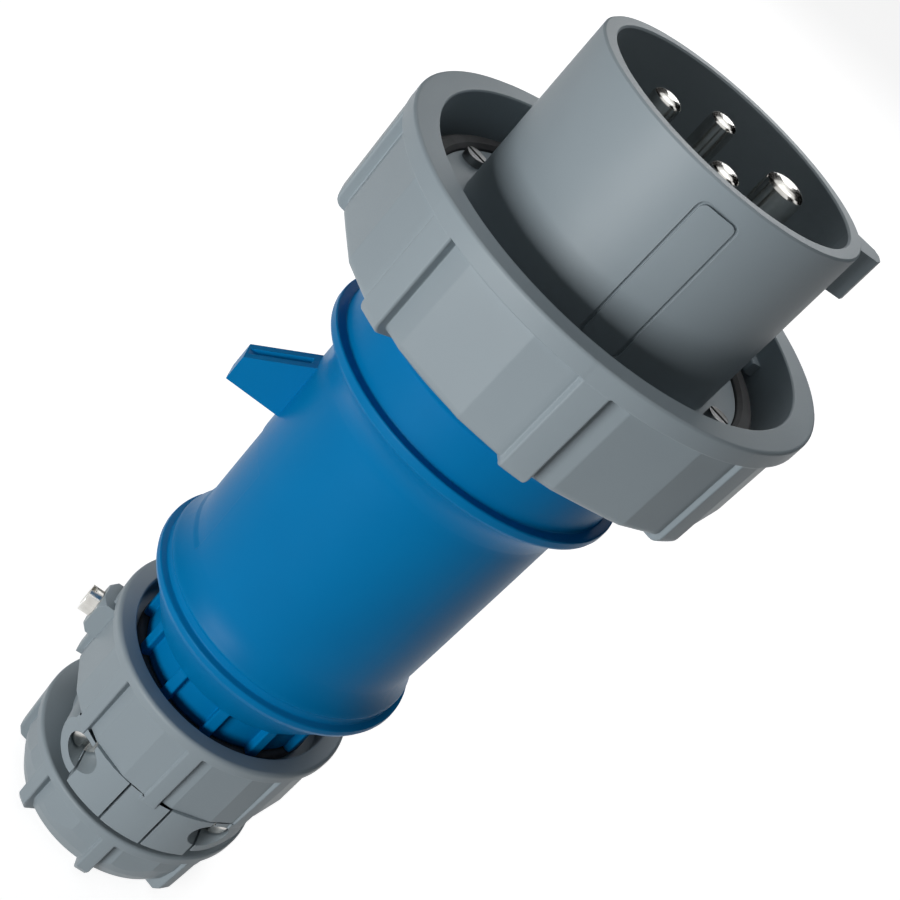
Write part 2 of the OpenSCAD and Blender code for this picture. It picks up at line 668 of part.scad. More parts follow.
module clamp_nuts() color(zinc) for (x = [-1, 1]) translate([x * clamp_screw_x, 0, z_clamp])
  rotate([-90, 0, 0]) translate([0, 0, jaw_seat]) difference() {
    cylinder(r = clamp_head_r, h = clamp_nut_h, $fn = 6);
    translate([0, 0, -1]) cylinder(r = clamp_shank_r + run_gap, h = clamp_nut_h + 2);
  }

// Cable seal, the slip ring behind it and the nut that presses them

nut_wall = 3;
slip_t = 2.4;
slip_gap = 0.1;
z_slip = nut_wall + slip_gap;
z_seal = z_slip + slip_t + slip_gap;
seal_bore_r = cable_r - 3;
nut_bore_r = spigot_r + run_gap;
nut_floor_deep = nut_r - 1.9;
nut_floor_shallow = nut_r - 0.8;

module cable_seal() color(rubber) rotate_extrude() polygon([
  [seal_bore_r, z_seal], [spigot_bore_r - 0.05, z_seal],
  [spigot_bore_r - 0.05, z_gland_rear - 1.6], [seal_bore_r + 4, z_gland_rear + 1],
  [seal_bore_r, z_gland_rear + 1]
]);

module slip_ring() color(grey)
  tube(spigot_bore_r - 0.3, cable_r - 1, z_slip, z_slip + slip_t);

module nut_skin() rotate_extrude() polygon([
  [0, 0], [nut_r - 4.6, 0], [nut_r - 1.6, 1.2], [nut_r - 0.5, 3],
  [nut_r, nut_len - 0.7], [nut_r - 0.6, nut_len], [0, nut_len]
]);

module rear_nut() color(grey) difference() {
  union() {
    intersection() {
      nut_skin();
      disc(nut_r + 1, nut_len - 2.3, nut_len + 1);
    }
    intersection() {
      rotate_extrude() polygon([
        [0, 0], [nut_r - 6, 0], [nut_r - 3.4, 1.6], [nut_r - 1.7, 5.2],
        [nut_r, nut_len - 2], [0, nut_len - 2]
      ]);
      linear_extrude(nut_len - 2) flats(nut_floor_deep, nut_floor_shallow);
    }
    ribs(nut_floor_shallow - 0.4, nut_r, 0, nut_len) nut_skin();
  }
  disc(cable_r, -1, nut_wall + 1);
  disc(nut_bore_r, nut_wall, nut_len + 1);
}

pin_carrier();
earth_pin();
line_pin_1();
line_pin_2();
line_pin_3();
terminal_screws();
carrier_screws();
face_seal();
lock_ring();
housing();
housing_seal();
neck_seal();
gland_body();
lock_block();
lock_screw();
near_jaw();
far_jaw();
clamp_screws();
clamp_nuts();
cable_seal();
slip_ring();
rear_nut();
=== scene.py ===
import bpy
import bmesh
import json
import math
import numpy as np
from mathutils import Matrix, Vector


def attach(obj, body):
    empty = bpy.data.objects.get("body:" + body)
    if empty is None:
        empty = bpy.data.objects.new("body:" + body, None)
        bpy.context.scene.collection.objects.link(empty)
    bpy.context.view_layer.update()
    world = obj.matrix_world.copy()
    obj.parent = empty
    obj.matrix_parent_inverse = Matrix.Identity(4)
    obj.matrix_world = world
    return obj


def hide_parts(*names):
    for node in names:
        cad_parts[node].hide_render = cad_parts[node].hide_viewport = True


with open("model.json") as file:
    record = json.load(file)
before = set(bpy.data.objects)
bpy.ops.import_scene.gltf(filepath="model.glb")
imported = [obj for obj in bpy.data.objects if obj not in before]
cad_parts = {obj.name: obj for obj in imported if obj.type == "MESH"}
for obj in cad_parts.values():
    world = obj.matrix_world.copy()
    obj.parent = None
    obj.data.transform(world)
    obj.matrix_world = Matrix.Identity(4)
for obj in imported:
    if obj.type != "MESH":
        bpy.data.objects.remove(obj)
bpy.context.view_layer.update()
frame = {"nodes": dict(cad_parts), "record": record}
mm = 0.001

# camera: seen from slightly above the ring, rolled so that the plug leans across the picture
viewpoint = {
    "aroundAxis": -103.82,   # degrees from +X, which points at the key
    "fromAxis": 230.04,      # millimetres
    "height": 231.28,
    "heading": 75.80,
    "tiltDown": 28.17,
    "roll": 43.67,
    "lens": 62.96,
}


def aimCamera(v):
    around, heading = math.radians(v["aroundAxis"]), math.radians(v["heading"])
    tilt, roll = math.radians(v["tiltDown"]), math.radians(v["roll"])
    stand = Vector((v["fromAxis"] * math.cos(around), v["fromAxis"] * math.sin(around), v["height"])) * mm
    ahead = Vector((math.cos(heading) * math.cos(tilt), math.sin(heading) * math.cos(tilt), -math.sin(tilt)))
    level = ahead.cross(Vector((0, 0, 1))).normalized()
    upright = level.cross(ahead)
    right = level * math.cos(roll) + upright * math.sin(roll)
    up = upright * math.cos(roll) - level * math.sin(roll)
    turn = Matrix((right, up, -ahead)).transposed().to_4x4()
    data = bpy.data.cameras.new("camera")
    data.lens = v["lens"]
    data.clip_start, data.clip_end = 0.01, 20
    cam = bpy.data.objects.new("camera", data)
    bpy.context.scene.collection.objects.link(cam)
    cam.matrix_world = Matrix.Translation(stand) @ turn
    bpy.context.scene.camera = cam


aimCamera(viewpoint)
print("camera placed")


# node helpers

def feed(tree, value, socket):
    if isinstance(value, bpy.types.NodeSocket):
        tree.links.new(value, socket)
    else:
        socket.default_value = value


def calc(tree, operation, *values):
    node = tree.nodes.new("ShaderNodeMath")
    node.operation = operation
    for socket, value in zip(node.inputs, values):
        feed(tree, value, socket)
    return node.outputs[0]


def vectorCalc(tree, operation, *values):
    node = tree.nodes.new("ShaderNodeVectorMath")
    node.operation = operation
    for socket, value in zip(node.inputs, values):
        feed(tree, value, socket)
    return node.outputs["Value"] if operation == "DOT_PRODUCT" else node.outputs[0]


def ramp(tree, value, low, high, outLow=0.0, outHigh=1.0):
    node = tree.nodes.new("ShaderNodeMapRange")
    node.interpolation_type = "SMOOTHSTEP"
    ends = {"Value": value, "From Min": low, "From Max": high, "To Min": outLow, "To Max": outHigh}
    for label, v in ends.items():
        feed(tree, v, node.inputs[label])
    return node.outputs["Result"]


def mixColour(tree, factor, a, b):
    node = tree.nodes.new("ShaderNodeMix")
    node.data_type = "RGBA"
    feed(tree, factor, node.inputs[0])
    feed(tree, a, node.inputs[6])
    feed(tree, b, node.inputs[7])
    return node.outputs[2]


def noise(tree, place, scale, detail=2.0):
    node = tree.nodes.new("ShaderNodeTexNoise")
    feed(tree, place, node.inputs["Vector"])
    feed(tree, scale, node.inputs["Scale"])
    node.inputs["Detail"].default_value = detail
    return node.outputs["Fac"]


def newGroup(name, inputs, outputs):
    group = bpy.data.node_groups.new(name, "ShaderNodeTree")
    for label, kind, value in inputs:
        socket = group.interface.new_socket(name=label, in_out="INPUT", socket_type="NodeSocket" + kind)
        if value is not None:
            socket.default_value = value
    for label, kind in outputs:
        group.interface.new_socket(name=label, in_out="OUTPUT", socket_type="NodeSocket" + kind)
    return group, group.nodes.new("NodeGroupInput").outputs, group.nodes.new("NodeGroupOutput").inputs


def useGroup(tree, group, **values):
    node = tree.nodes.new("ShaderNodeGroup")
    node.node_tree = group
    for label, value in values.items():
        feed(tree, value, node.inputs[label])
    return node.outputs


# moulding grain: fine pebbles of two sizes for the bump, and slow clouds for tone and gloss
def makeGrain():
    tree, given, made = newGroup(
        "mouldingGrain", [("Place", "Vector", None), ("Size", "Float", 0.3), ("Clouds", "Float", 0.02)],
        [("Height", "Float"), ("Tone", "Float"), ("Speck", "Float")])
    perSize = calc(tree, "DIVIDE", 1000.0, given["Size"])
    pebbles = noise(tree, given["Place"], perSize, 1.0)
    grit = noise(tree, given["Place"], calc(tree, "MULTIPLY", perSize, 2.7), 2.0)
    height = calc(tree, "MULTIPLY_ADD", pebbles, 0.65, calc(tree, "MULTIPLY", grit, 0.35))
    tree.links.new(height, made["Height"])
    clouds = noise(tree, given["Place"], calc(tree, "DIVIDE", 1.0, given["Clouds"]), 3.0)
    tree.links.new(clouds, made["Tone"])
    tree.links.new(ramp(tree, grit, 0.35, 0.65), made["Speck"])
    return tree


# soft edges: normals rounded over by a radius, and a mask of where they leave the true face, which the plastics
# use for a painted edge highlight in patches
def makeSoftEdge(samples=6, patchScale=900.0):
    tree, given, made = newGroup("softEdge", [("Radius", "Float", 0.0003), ("Place", "Vector", None)],
                                 [("Normal", "Vector"), ("Edge", "Float")])
    bevel = tree.nodes.new("ShaderNodeBevel")
    bevel.samples = samples
    tree.links.new(given["Radius"], bevel.inputs["Radius"])
    trueNormal = tree.nodes.new("ShaderNodeNewGeometry").outputs["Normal"]
    bend = calc(tree, "SUBTRACT", 1.0, vectorCalc(tree, "DOT_PRODUCT", bevel.outputs[0], trueNormal))
    patches = ramp(tree, noise(tree, given["Place"], patchScale, 2.0), 0.2, 0.7)
    tree.links.new(bevel.outputs[0], made["Normal"])
    tree.links.new(calc(tree, "MULTIPLY", ramp(tree, bend, 0.01, 0.2), patches), made["Edge"])
    return tree


# tool marks: rings round the axis with slow waves, for turned and plated metal
def makeToolMarks(stretch=(60.0, 60.0, 1000.0), smearScale=260.0):
    tree, given, made = newGroup("toolMarks", [("Place", "Vector", None), ("Pitch", "Float", 0.08)],
                                 [("Height", "Float"), ("Smear", "Float")])
    stretched = vectorCalc(tree, "MULTIPLY", given["Place"], stretch)
    perPitch = calc(tree, "DIVIDE", 1.0, given["Pitch"])
    tree.links.new(noise(tree, stretched, perPitch, 1.0), made["Height"])
    tree.links.new(noise(tree, given["Place"], smearScale, 3.0), made["Smear"])
    return tree


grain, softEdge, toolMarks = makeGrain(), makeSoftEdge(), makeToolMarks()


def startMaterial(name):
    m = bpy.data.materials.new(name)
    m.use_nodes = True
    tree = m.node_tree
    return m, tree, tree.nodes["Principled BSDF"].inputs, tree.nodes.new("ShaderNodeTexCoord").outputs["Object"]


def bump(tree, height, strength, distance, normal=None):
    node = tree.nodes.new("ShaderNodeBump")
    node.inputs["Strength"].default_value = strength
    node.inputs["Distance"].default_value = distance * mm
    feed(tree, height, node.inputs["Height"])
    if normal is not None:
        feed(tree, normal, node.inputs["Normal"])
    return node.outputs[0]


# grain, relief and soften are in millimetres, clouds in metres
# the lighter edge colour, laid on the rounded edges in patches, is a painted highlight
plastics = {
    "greyMoulding": {
        "colour": (0.275, 0.325, 0.355), "deeper": (0.255, 0.303, 0.333), "edge": (0.36, 0.41, 0.44),
        "edgeHighlightAmount": 0.35, "gloss": (0.42, 0.52), "shine": 0.3,
        "grain": 0.28, "clouds": 0.03, "bump": 0.55, "relief": 0.012, "soften": 0.14},
    "blueMoulding": {
        "colour": (0.0, 0.175, 0.42), "deeper": (0.0, 0.16, 0.39), "edge": (0.0, 0.23, 0.50),
        "edgeHighlightAmount": 0.3, "gloss": (0.33, 0.42), "shine": 0.07,
        "grain": 0.26, "clouds": 0.03, "bump": 0.55, "relief": 0.012, "soften": 0.14},
}


def mouldedPlastic(name):
    v = plastics[name]
    m, tree, skin, where = startMaterial(name)
    texture = useGroup(tree, grain, Place=where, Size=v["grain"], Clouds=v["clouds"])
    edges = useGroup(tree, softEdge, Radius=v["soften"] * mm, Place=where)
    tone = mixColour(tree, ramp(tree, texture["Tone"], 0.3, 0.7), (*v["deeper"], 1), (*v["colour"], 1))
    # lighter colour along the edges: a painted highlight
    paintedEdgeHighlight = calc(tree, "MULTIPLY", edges["Edge"], v["edgeHighlightAmount"])
    tree.links.new(mixColour(tree, paintedEdgeHighlight, tone, (*v["edge"], 1)), skin["Base Color"])
    tree.links.new(ramp(tree, texture["Speck"], 0.0, 1.0, *v["gloss"]), skin["Roughness"])
    skin["Specular IOR Level"].default_value = v["shine"]
    tree.links.new(bump(tree, texture["Height"], v["bump"], v["relief"], edges["Normal"]), skin["Normal"])
    return m


metals = {
    "nickelPlate": {"colour": (0.72, 0.71, 0.68), "tarnish": (0.56, 0.55, 0.52), "gloss": (0.13, 0.26),
                    "pitch": 0.09, "bump": 0.6, "relief": 0.0025, "soften": 0.15},
    "zincPlate": {"colour": (0.60, 0.62, 0.63), "tarnish": (0.45, 0.47, 0.48), "gloss": (0.28, 0.45),
                  "pitch": 0.2, "bump": 0.6, "relief": 0.004, "soften": 0.15},
    # dark steel for the carrier screws: its darkness is painted shade of the recess they sit in
    "shadeDarkenedSteel": {"colour": (0.26, 0.265, 0.27), "tarnish": (0.10, 0.10, 0.10), "gloss": (0.30, 0.48),
                     "pitch": 0.2, "bump": 0.6, "relief": 0.004, "soften": 0.15},
}


def platedMetal(name):
    v = metals[name]
    m, tree, skin, where = startMaterial(name)
    marks = useGroup(tree, toolMarks, Place=where, Pitch=v["pitch"])
    edges = useGroup(tree, softEdge, Radius=v["soften"] * mm, Place=where)
    dull = ramp(tree, marks["Smear"], 0.42, 0.72)
    tree.links.new(mixColour(tree, dull, (*v["colour"], 1), (*v["tarnish"], 1)), skin["Base Color"])
    skin["Metallic"].default_value = 1.0
    tree.links.new(ramp(tree, marks["Smear"], 0.3, 0.8, *v["gloss"]), skin["Roughness"])
    tree.links.new(bump(tree, marks["Height"], v["bump"], v["relief"], edges["Normal"]), skin["Normal"])
    return m


sealRubber = {"colour": (0.016, 0.017, 0.019), "bloom": (0.05, 0.052, 0.055), "gloss": (0.62, 0.8),
              "grain": 0.5, "clouds": 0.008, "bump": 0.5, "relief": 0.02}


def rubber(name, v):
    m, tree, skin, where = startMaterial(name)
    texture = useGroup(tree, grain, Place=where, Size=v["grain"], Clouds=v["clouds"])
    bloom = ramp(tree, texture["Tone"], 0.45, 0.75)
    tree.links.new(mixColour(tree, bloom, (*v["colour"], 1), (*v["bloom"], 1)), skin["Base Color"])
    tree.links.new(ramp(tree, texture["Tone"], 0.3, 0.7, *v["gloss"]), skin["Roughness"])
    tree.links.new(bump(tree, texture["Height"], v["bump"], v["relief"]), skin["Normal"])
    return m


looks = {
    "grey_plastic": mouldedPlastic("greyMoulding"),
    "blue_plastic": mouldedPlastic("blueMoulding"),
    "nickel": platedMetal("nickelPlate"),
    "zinc": platedMetal("zincPlate"),
    "black_rubber": rubber("sealRubber", sealRubber),
}
# the carrier screws get the darkened steel as painted shade; every other node gets its own slot's look
shadeDarkenedSteel = platedMetal("shadeDarkenedSteel")
slots = {s["node"]: s["material_slot"] for s in frame["record"]["subparts"]}
for name, o in frame["nodes"].items():
    o.data.materials.clear()
    o.data.materials.append(shadeDarkenedSteel if name == "carrier_screws" else looks[slots[name]])
print("materials made")


# shape helpers, all in millimetres until the mesh is written

# Each corner (r, z, fillet) becomes an arc: the weighted mean of its two tangent points and itself,
# weights (1-t)^2, 2t(1-t)sin(h) and t^2, with h half the inside angle. A corner with fillet 0 stays a point.
def roundOff(corners, steps=4, collar=0.12):
    c = np.array(corners, float)
    p, fillet = c[:, :2], c[:, 2]
    back, ahead = np.roll(p, 1, 0) - p, np.roll(p, -1, 0) - p
    backLength, aheadLength = np.hypot(*back.T), np.hypot(*ahead.T)
    u, v = back / backLength[:, None], ahead / aheadLength[:, None]
    half = 0.5 * np.arccos(np.clip((u * v).sum(1), -1, 1))
    shorter = np.minimum(backLength, aheadLength)
    cut = np.clip(fillet / np.tan(half), 0.03, 0.42 * shorter)
    beyond = (cut + np.minimum(collar, 0.06 * shorter))[:, None]
    t = np.linspace(0, 1, steps + 1)[None, :, None]
    a, b, top = (p + u * cut[:, None])[:, None], (p + v * cut[:, None])[:, None], p[:, None]
    weights = (1 - t) ** 2, 2 * t * (1 - t) * np.sin(half)[:, None, None], t ** 2
    arcs = (weights[0] * a + weights[1] * top + weights[2] * b) / sum(weights)
    rows = np.concatenate([(p + u * beyond)[:, None], arcs, (p + v * beyond)[:, None]], 1)
    keep = np.ones(rows.shape[:2], bool)
    keep[fillet == 0] = False
    keep[fillet == 0, 0] = True
    rows[fillet == 0, 0] = p[fillet == 0]
    return rows[keep]


# Line from p to q in n points, bowed out to its right by b: p + t(q-p) + 4bt(1-t) times the unit normal
def bowed(p, q, b, n):
    p, q = np.array(p, float), np.array(q, float)
    t = np.linspace(0, 1, n)[:, None]
    side = np.array([q[1] - p[1], p[0] - q[0]]) / np.hypot(*(q - p))
    points = p + t * (q - p) + 4 * b * t * (1 - t) * side
    return np.column_stack([points, np.zeros(n)]).tolist()


# The outline at each angle, turned about the axis: (r cos a, r sin a, z)
def lathe(outline, angles):
    o = np.broadcast_to(outline, (len(angles),) + np.shape(outline)[-2:])
    a = np.radians(angles)[:, None]
    return np.stack([o[..., 0] * np.cos(a), o[..., 0] * np.sin(a), o[..., 1]], -1)


# Four-cornered faces over a grid of points; either way round may be closed into a loop
def gridFaces(rows, cols, closeRows=True, closeCols=True):
    i = np.arange(rows if closeRows else rows - 1)[:, None]
    j = np.arange(cols if closeCols else cols - 1)[None]
    up, right = (i + 1) % rows, (j + 1) % cols
    corners = [i * cols + j, up * cols + j, up * cols + right, i * cols + right]
    return np.stack(corners, -1).reshape(-1, 4).tolist()


def shell(grid, closeRows=True, closeCols=True):
    return grid.reshape(-1, 3), gridFaces(*grid.shape[:2], closeRows, closeCols)


# A closed outline carried along an arc and shut by its own outline at both ends
def sector(corners, start, end, rise, steps):
    outline = roundOff(corners, 3)
    o = np.repeat(outline[None], steps + 1, 0)
    o[..., 1] += np.linspace(0, rise, steps + 1)[:, None]
    n = len(outline)
    points, faces = shell(lathe(o, np.linspace(start, end, steps + 1)), False)
    return points, faces + [list(range(n)), list(range(steps * n, (steps + 1) * n))[::-1]]


def makePiece(name, shells, body, slotName, *nodes, sharp=38):
    points, faces, start = [], [], 0
    for p, f in shells:
        points.append(p)
        faces += [[k + start for k in face] for face in f]
        start += len(p)
    mesh = bpy.data.meshes.new(name)
    mesh.from_pydata((np.concatenate(points) * mm).tolist(), [], faces)
    mesh.shade_smooth()
    mesh.set_sharp_from_angle(angle=math.radians(sharp))
    mesh.materials.append(looks[slotName])
    piece = bpy.data.objects.new(name, mesh)
    bpy.context.scene.collection.objects.link(piece)
    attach(piece, body)
    if nodes:
        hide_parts(*nodes)
    print(name, "made:", len(faces), "faces")
    return piece


# grip, shared by ring, nut and gland: eight ribs, one side steep and one bevelled, and finger flats between
# them in three planes; angles in degrees from a rib, flatRise from the deep end of the flats to the shallow
grip = {"ribs": 8, "bevelFoot": -3.55, "bevelTop": -2.75, "steep": 4.02, "steepFoot": 4.12, "edge": 0.36,
        "creases": (10, 29.6), "creaseHalf": 0.35, "flatAt": (3.62, 10, 29.6, 41),
        "flatRise": (0, 0.45, 0.9, 1), "widestStep": 1.9}


# The plan of one rib unrolled in millimetres, rounded off and repeated: angle, and 1 on the rib to 0 beside it
def gripRing(radius, height, v=grip, edge=None):
    arc = radius * math.pi / 180
    edge = edge or v["edge"]
    step = 360 / v["ribs"]
    corners = [(v["creases"][1] - step, 0, 0), (v["bevelFoot"], 0, edge), (v["bevelTop"], height, edge),
               (v["steep"], height, edge), (v["steepFoot"], 0, edge * 0.5), (v["creases"][0], 0, 0),
               (v["creases"][1], 0, 0), (step + v["bevelFoot"], 0, 0)]
    line = roundOff([(a * arc, h, fillet) for a, h, fillet in corners])[1:-1]
    soft = np.array([c + s for c in v["creases"] for s in (-v["creaseHalf"], v["creaseHalf"])])
    angle, on = np.append(line[:, 0] / arc, soft), np.append(line[:, 1] / height, soft * 0)
    order = np.argsort(angle)
    angle, on = angle[order], on[order]
    gaps = np.diff(np.append(angle, angle[0] + step))
    pieces = np.maximum(1, np.ceil(gaps / v["widestStep"])).astype(int)
    part = np.concatenate([np.arange(k) / k for k in pieces])
    start, gap = np.repeat(angle, pieces), np.repeat(gaps, pieces)
    nextOn = np.repeat(np.append(on[1:], on[0]), pieces)
    on = np.repeat(on, pieces) * (1 - part) + nextOn * part
    angle = start + gap * part
    turns = np.arange(v["ribs"])[:, None] * step
    return (angle + turns).ravel(), np.tile(on, v["ribs"])


# Radius of the finger flats at an angle: the chord through two corners, as a share from deep to shallow
def flatShare(angles, deep, shallow, v=grip):
    step = 360 / v["ribs"]
    at = np.append(v["flatAt"], v["flatAt"][0] + step)
    radius = deep + (shallow - deep) * np.append(v["flatRise"], v["flatRise"][0])
    a = (angles - at[0]) % step + at[0]
    k = np.clip(np.searchsorted(at, a, "right") - 1, 0, len(at) - 2)
    a0, a1, r0, r1 = np.radians(at[k]), np.radians(at[k + 1]), radius[k], radius[k + 1]
    a = np.radians(a)
    r = r0 * r1 * np.sin(a1 - a0) / (r0 * np.sin(a - a0) + r1 * np.sin(a1 - a))
    return (r - deep) / (shallow - deep)


# Three outlines blended round the axis: the rib's, and between the ribs the deep one passing into the shallow
def gripLathe(rib, deep, shallow, deepR, shallowR, angles, on):
    share = flatShare(angles, deepR, shallowR)[:, None, None]
    on = on[:, None, None]
    return lathe(on * rib + (1 - on) * (deep * (1 - share) + shallow * share), angles)


# lock ring, with two bayonet ramps and two stops on its bore; its underside slopes from the skirt's edge,
# which is lower on the ribs, back to the rear face
lockRing = {
    "outside": 39.75, "bore": 35.1, "boreEdge": (0.22, 0.25), "journal": 30.25, "rear": 131.0, "rearFace": 34.2,
    "front": 153.5, "frontEdge": 0.5, "band": 150.2, "lip": 135.0, "deep": 37.7, "shallow": 38.9,
    "skirt": 133.2, "ribSkirt": 131.9, "ribRoot": 0.6,
    "ramp": {"head": 33.5, "rear": 146.4, "front": 148.8, "edge": 0.3,
             "turn": (20, 80), "rise": 2.4, "steps": 24},
    "stop": {"head": 33.8, "rear": 134.9, "front": 139.5, "edge": 0.1,
             "turn": (90.5, 100.5), "rise": 0, "steps": 8},
}


def makeLockRing(v):
    outside, bore, front = v["outside"], v["bore"], v["front"]
    edgeR, edgeZ = v["boreEdge"]
    angles, on = gripRing(outside, outside - v["shallow"] + v["ribRoot"])

    def outline(footR, footZ, faceR, lower, ledgeR):
        return roundOff([
            (v["journal"], v["rear"], 0.15), (v["rearFace"], v["rear"], 0.3),
            (footR - 0.2, footZ - 0.15, lower), (faceR, v["band"] - 0.15, 0.2),
            (ledgeR, v["band"] + 0.1, 0.2), (ledgeR, front, v["frontEdge"]),
            (bore + edgeR, front, 0.1), (bore, front - edgeZ, 0.1), (bore, v["lip"], 0.3),
            (v["journal"], v["lip"], 0.3)], 5)

    rib = outline(outside - 0.2, v["ribSkirt"], outside - 0.12, 1.9, outside - 0.04)
    deep = outline(v["deep"], v["skirt"], v["deep"], 1.5, outside - 0.04)
    shallow = outline(v["shallow"], v["skirt"], v["shallow"], 1.5, outside)
    shells = [shell(gripLathe(rib, deep, shallow, v["deep"], v["shallow"], angles, on))]
    root = bore + 0.3
    for turned in (0, 180):
        for part in (v["ramp"], v["stop"]):
            corners = [(part["head"], part["rear"], part["edge"]), (root, part["rear"], 0.1),
                       (root, part["front"], 0.1), (part["head"], part["front"], 0.4)]
            start, end = part["turn"]
            shells.append(sector(corners, turned + start, turned + end, part["rise"], part["steps"]))
    return makePiece("lockRing", shells, "ring", "grey_plastic", "lock_ring")


makeLockRing(lockRing)


# housing: nose, flange, barrel, rear bead and a neck with twelve ribs, all one section that is turned round;
# pairs are a radius and a height
housing = {
    "neckEnd": 29.5, "neckBore": 14.4, "neckThread": 17.2, "ribFoot": 43.2, "neckTop": 50.2,
    "rib": 19.3, "root": 17.8, "ribWidth": 2.2, "ribHeight": 1.5, "ribs": 12, "fillSteps": 11,
    "coneFront": (25.15, 59.9), "bead": (26.65, 61.6), "groove": (25.28, 64.35),
    "barrelRear": (23.95, 70.5), "barrelMiddle": 24.24, "barrelFront": (24.5, 109.7),
    "field": (69.8, 89.0), "fieldHalf": 27.3, "fieldDepth": 0.22,
    "flange": (28.95, 117.3), "flangeFront": 118.7, "nose": 27.0, "collar": (31.4, 129.5), "collarFront": 130.7,
    "journal": 30.2, "front": 135.4, "mouth": (25.7, 133.7), "sealSeat": (24.15, 131.1),
    "bore": (20.55, 72.5), "cavity": (20.15, 66.5), "funnelEnd": 52.7,
}


def housingOutline(v, ribR):
    coneR, coneZ = v["coneFront"]
    beadR, beadZ = v["bead"]
    grooveR, grooveZ = v["groove"]
    rearR, rearZ = v["barrelRear"]
    frontR, frontZ = v["barrelFront"]
    rimR, rimZ = v["flange"]
    collarR, collarZ = v["collar"]
    mouthR, mouthZ = v["mouth"]
    sealR, sealZ = v["sealSeat"]
    boreR, boreZ = v["bore"]
    fieldFront = v["field"][1]
    neck = [(v["neckBore"], v["neckEnd"], 0.3), (v["neckThread"], v["neckEnd"], 0.6),
            (v["neckThread"], v["ribFoot"], 0.15), (ribR, v["ribFoot"], 0.3), (ribR, v["neckTop"] - 0.02, 0.35)]
    cone = bowed((v["rib"], v["neckTop"] + 0.4), v["coneFront"], 0.1, 14)
    bead = [(coneR + 0.15, coneZ + 0.2, 0.35), (beadR - 0.45, beadZ - 1.05, 0.5), (beadR, beadZ, 0.9),
            (beadR - 0.1, beadZ + 1, 0.3), (grooveR + 0.07, beadZ + 1.4, 0.3), (grooveR, grooveZ, 0.25),
            (grooveR + 0.22, grooveZ + 0.5, 0.2)]
    cove = bowed((grooveR + 0.12, grooveZ + 0.85), v["barrelRear"], -0.3, 12)
    barrel = (bowed((rearR + 0.03, rearZ + 2), (v["barrelMiddle"], fieldFront - 0.1), 0.02, 8)
              + bowed((v["barrelMiddle"], fieldFront + 0.15), (frontR - 0.02, frontZ - 1.3), 0.02, 9))
    flare = bowed(v["barrelFront"], (rimR - 0.13, rimZ - 0.4), -0.78, 18)
    flange = [(rimR, rimZ, 0.2), (rimR, v["flangeFront"], 0.3), (v["nose"], v["flangeFront"], 0.2)]
    collar = [(v["nose"], collarZ - 2.8, 0.8), (collarR - 2, collarZ, 0.3), (collarR, collarZ, 0.25),
              (collarR, v["collarFront"], 0.25), (v["journal"], v["collarFront"], 0.1),
              (v["journal"], v["front"], 0.3)]
    inside = [(mouthR, v["front"], 0.15), (mouthR, mouthZ, 0.1), (sealR, mouthZ, 0.1), (sealR, sealZ, 0.2),
              (boreR, sealZ, 0.2), (boreR, boreZ, 0.15), (v["cavity"][0], boreZ, 0.1), (*v["cavity"], 1.5),
              (v["neckBore"], v["funnelEnd"], 2.0)]
    return roundOff(neck + cone + bead + cove + barrel + flare + flange + collar + inside, 4)


def makeHousing(v):
    arc = v["rib"] * math.pi / 180
    half = v["ribWidth"] / 2 / arc
    step = 360 / v["ribs"]
    foot, gap, height = half + 0.15, step - half, v["ribHeight"]
    corners = [(-gap, 0, 0), (-foot, 0, 0.25), (-half, height, 0.3),
               (half, height, 0.3), (foot, 0, 0.25), (gap, 0, 0)]
    line = roundOff([(a * arc, h, fillet) for a, h, fillet in corners])[1:-1]
    fill = np.linspace(half + 1.6, gap - 1.6, v["fillSteps"])
    angle = np.append(line[:, 0] / arc, fill)
    on = np.tile(np.append(line[:, 1] / height, fill * 0), v["ribs"])
    angles = (angle + np.arange(v["ribs"])[:, None] * step).ravel() % 360
    order = np.argsort(angles)
    angles, on = angles[order], on[order]

    # the shallow field in the barrel opposite the key, with two close rows at each of its sides
    sides = np.array([180 + s * (v["fieldHalf"] + d) for s in (-1, 1) for d in (0, 0.25)])
    on = np.append(on, np.interp(sides, angles, on))
    angles = np.append(angles, sides)
    order = np.argsort(angles)
    angles, on = angles[order], on[order, None, None]
    section = on * housingOutline(v, v["rib"]) + (1 - on) * housingOutline(v, v["root"])
    r, z = section[..., 0], section[..., 1]
    facing = (abs(angles - 180) < v["fieldHalf"] + 0.1)[:, None]
    inField = facing & (z > v["field"][0]) & (z < v["field"][1]) & (r > v["bore"][0] + 1)
    section[..., 0] = r - v["fieldDepth"] * inField
    return makePiece("housingBody", [shell(lathe(section, angles))], "plug_body", "blue_plastic", "housing")


# lug on the barrel: its back steep, its top level, then a slope with a channel sunk in it
lug = {"foot": -22.9, "barrel": -24.3, "tip": -34.8, "halfWidth": 2.4, "channelHalf": 0.9, "channelDepth": 2.0,
       "back": 94.8, "level": 100.0, "end": 106.6, "edge": 0.3}


